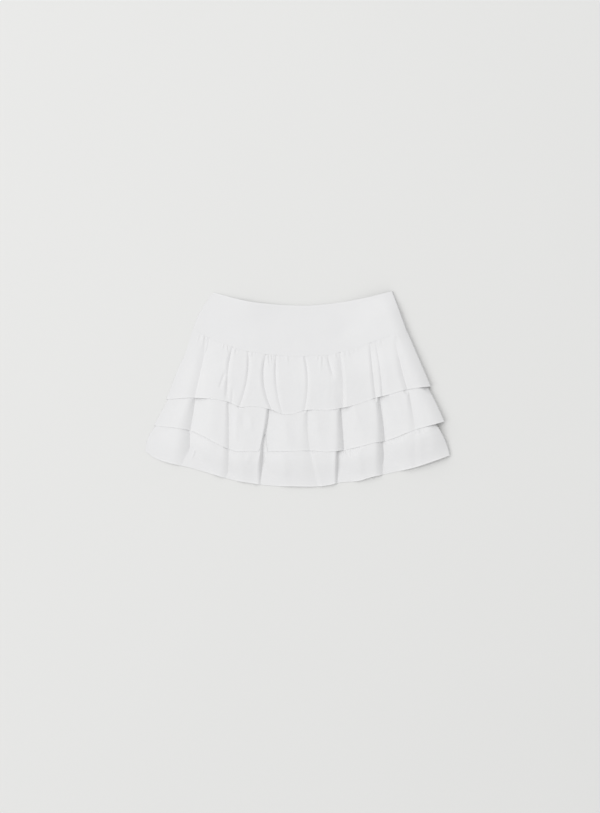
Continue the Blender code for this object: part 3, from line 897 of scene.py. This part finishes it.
def mottled_material(name, colour, darkest, rough, gloss, fineness, detail):
    """A matt material whose colour goes down to a darkest share of itself in soft noise."""
    material, tree, shader = new_material(name, Roughness=rough, Specular_IOR_Level=gloss)
    place = [("Vector", node(tree, "ShaderNodeTexCoord", (-1100, 0)).outputs["Object"])]
    cloud = node(tree, "ShaderNodeTexNoise", (-800, 0), place, Scale=fineness, Detail=detail)
    shade = node(tree, "ShaderNodeValToRGB", (-500, 0), [("Fac", cloud.outputs["Fac"])])
    dark, light = shade.color_ramp.elements
    dark.color, light.color = [value * darkest for value in colour] + [1.0], [*colour, 1.0]
    tree.links.new(shade.outputs["Color"], shader.inputs["Base Color"])
    return material


def thread_material(colour):
    """White sewing thread: a fine twist along each stitch."""
    return mottled_material("sewing_thread", colour, 0.94, 0.6, 0.5, 1500.0, 1.0)


def floor_material(colour):
    """A plain pale painted surface with very faint clouds."""
    return mottled_material("pale_floor", colour, 0.985, 0.9, 0.2, 2.5, 2.0)


def shared(name, maker, *values):
    """The material of that name, made the first time that it is asked for."""
    return bpy.data.materials.get(name) or maker(*values)


def make_sheet(part, side, grid, hems, sewn, settings):
    """One sheet of cloth with its stitches, in place of its CAD node, which is hidden."""
    front = side == "front"
    colour = settings.yoke_colour if part == "yoke" else settings.tier_colour
    look = "yoke_cotton" if part == "yoke" else "tier_cotton"
    white = shared(look, cloth_material, look, colour, settings.weave, settings.hem_depth)
    thread = shared("sewing_thread", thread_material, settings.thread_colour)
    cloth = cloth_piece(f"{part}_{side}_cloth", grid, front, white, settings, hems)
    line = line_on_grid(sewn, STITCH_UP)
    sewing = stitches(f"{part}_{side}_stitches", line, front, settings, thread)
    for piece in (cloth, sewing):
        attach(piece, "root")
    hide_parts(f"{part}_{side}")


def soft_light(name, place, power, size):
    """A square light at a place, facing the origin."""
    lamp = bpy.data.lights.new(name, "AREA")
    lamp.energy = power
    lamp.size = size
    window = bpy.data.objects.new(name, lamp)
    window.location = place
    window.rotation_euler = (-window.location).to_track_quat("-Z", "Y").to_euler()
    bpy.context.scene.collection.objects.link(window)


class SKIRT_OT_yoke(bpy.types.Operator):
    """Make the front and back yoke, with a stitched facing along the waist"""

    bl_idname = "skirt.make_yoke"
    bl_label = "Yoke"

    def execute(self, context):
        settings = context.scene.skirt_cloth
        for side in ("back", "front"):
            front = side == "front"
            grid = yoke_surface(front, settings)
            hems = hem_share(-grid[::-1, :, 1], settings)[::-1, 0]
            make_sheet("yoke", side, grid, hems, grid[::-1], settings)
        return {"FINISHED"}


class SKIRT_OT_ruffles(bpy.types.Operator):
    """Make the three gathered ruffles, front and back, from the top one down, each under the one above"""

    bl_idname = "skirt.make_ruffles"
    bl_label = "Ruffles"

    def execute(self, context):
        settings = context.scene.skirt_cloth
        above = None
        for tier in TIERS:
            back = back_surface(tier, settings)
            front = front_surface(tier, settings, above)
            for side, grid in (("back", back), ("front", front)):
                hems = hem_share(grid[..., 1], settings)[:, 0]
                make_sheet(tier, side, grid, hems, grid, settings)
            above = front
        return {"FINISHED"}


class SKIRT_OT_stage(bpy.types.Operator):
    """Make the pale floor, the soft lights at the left and overhead, the even fill and the camera above"""

    bl_idname = "skirt.make_stage"
    bl_label = "Stage"

    def execute(self, context):
        scene, settings = context.scene, context.scene.skirt_stage
        half = settings.floor_size / 2
        side = np.linspace(-half, half, FLOOR_CUTS)
        across, along = np.meshgrid(side, side)
        points = np.stack((across.ravel(), along.ravel(), np.full(across.size, FLOOR_LEVEL)), axis=1)
        faces = grid_faces(FLOOR_CUTS, FLOOR_CUTS, upwards=False).tolist()
        floor = new_piece("floor", points, faces, floor_material(settings.floor_colour))

        soft_light("left_window", settings.key_place, settings.key_power, settings.key_size)
        soft_light("overhead", settings.top_place, settings.top_power, settings.top_size)

        world = bpy.data.worlds.new("even_fill")
        world.use_nodes = True
        world.node_tree.nodes["Background"].inputs["Color"].default_value = (1.0, 1.0, 1.0, 1.0)
        world.node_tree.nodes["Background"].inputs["Strength"].default_value = settings.fill
        scene.world = world

        lens = bpy.data.cameras.new("camera")
        lens.sensor_fit = "HORIZONTAL"
        lens.lens = lens.sensor_width * settings.camera_height / settings.view_width
        camera = bpy.data.objects.new("camera", lens)
        camera.location = (*settings.view_centre, settings.camera_height)
        scene.collection.objects.link(camera)
        scene.camera = camera
        scene.view_settings.view_transform = "Standard"
        return {"FINISHED"}


class SKIRT_PT_panel(bpy.types.Panel):
    """Buttons and settings of the skirt, in the 3D view's sidebar"""

    bl_idname = "SKIRT_PT_panel"
    bl_label = "Cancan Skirt"
    bl_space_type = "VIEW_3D"
    bl_region_type = "UI"
    bl_category = "Skirt"

    def draw(self, context):
        for operator in OPERATORS:
            self.layout.operator(operator.bl_idname, text=operator.bl_label)
        for group in (context.scene.skirt_cloth, context.scene.skirt_stage):
            box = self.layout.box()
            for name in group.__annotations__:
                box.prop(group, name)


OPERATORS = (SKIRT_OT_yoke, SKIRT_OT_ruffles, SKIRT_OT_stage)
CLASSES = (SkirtCloth, SkirtStage, *OPERATORS, SKIRT_PT_panel)


def register():
    """Register the classes and keep the two groups of settings on the scene."""
    for kind in CLASSES:
        bpy.utils.register_class(kind)
    bpy.types.Scene.skirt_cloth = PointerProperty(type=SkirtCloth)
    bpy.types.Scene.skirt_stage = PointerProperty(type=SkirtStage)


def unregister():
    """Remove the settings from the scene and unregister the classes."""
    del bpy.types.Scene.skirt_stage
    del bpy.types.Scene.skirt_cloth
    for kind in reversed(CLASSES):
        bpy.utils.unregister_class(kind)


def main():
    """Make every piece and the stage."""
    register()
    bpy.ops.skirt.make_yoke()
    bpy.ops.skirt.make_ruffles()
    bpy.ops.skirt.make_stage()


if __name__ == "__main__":
    main()
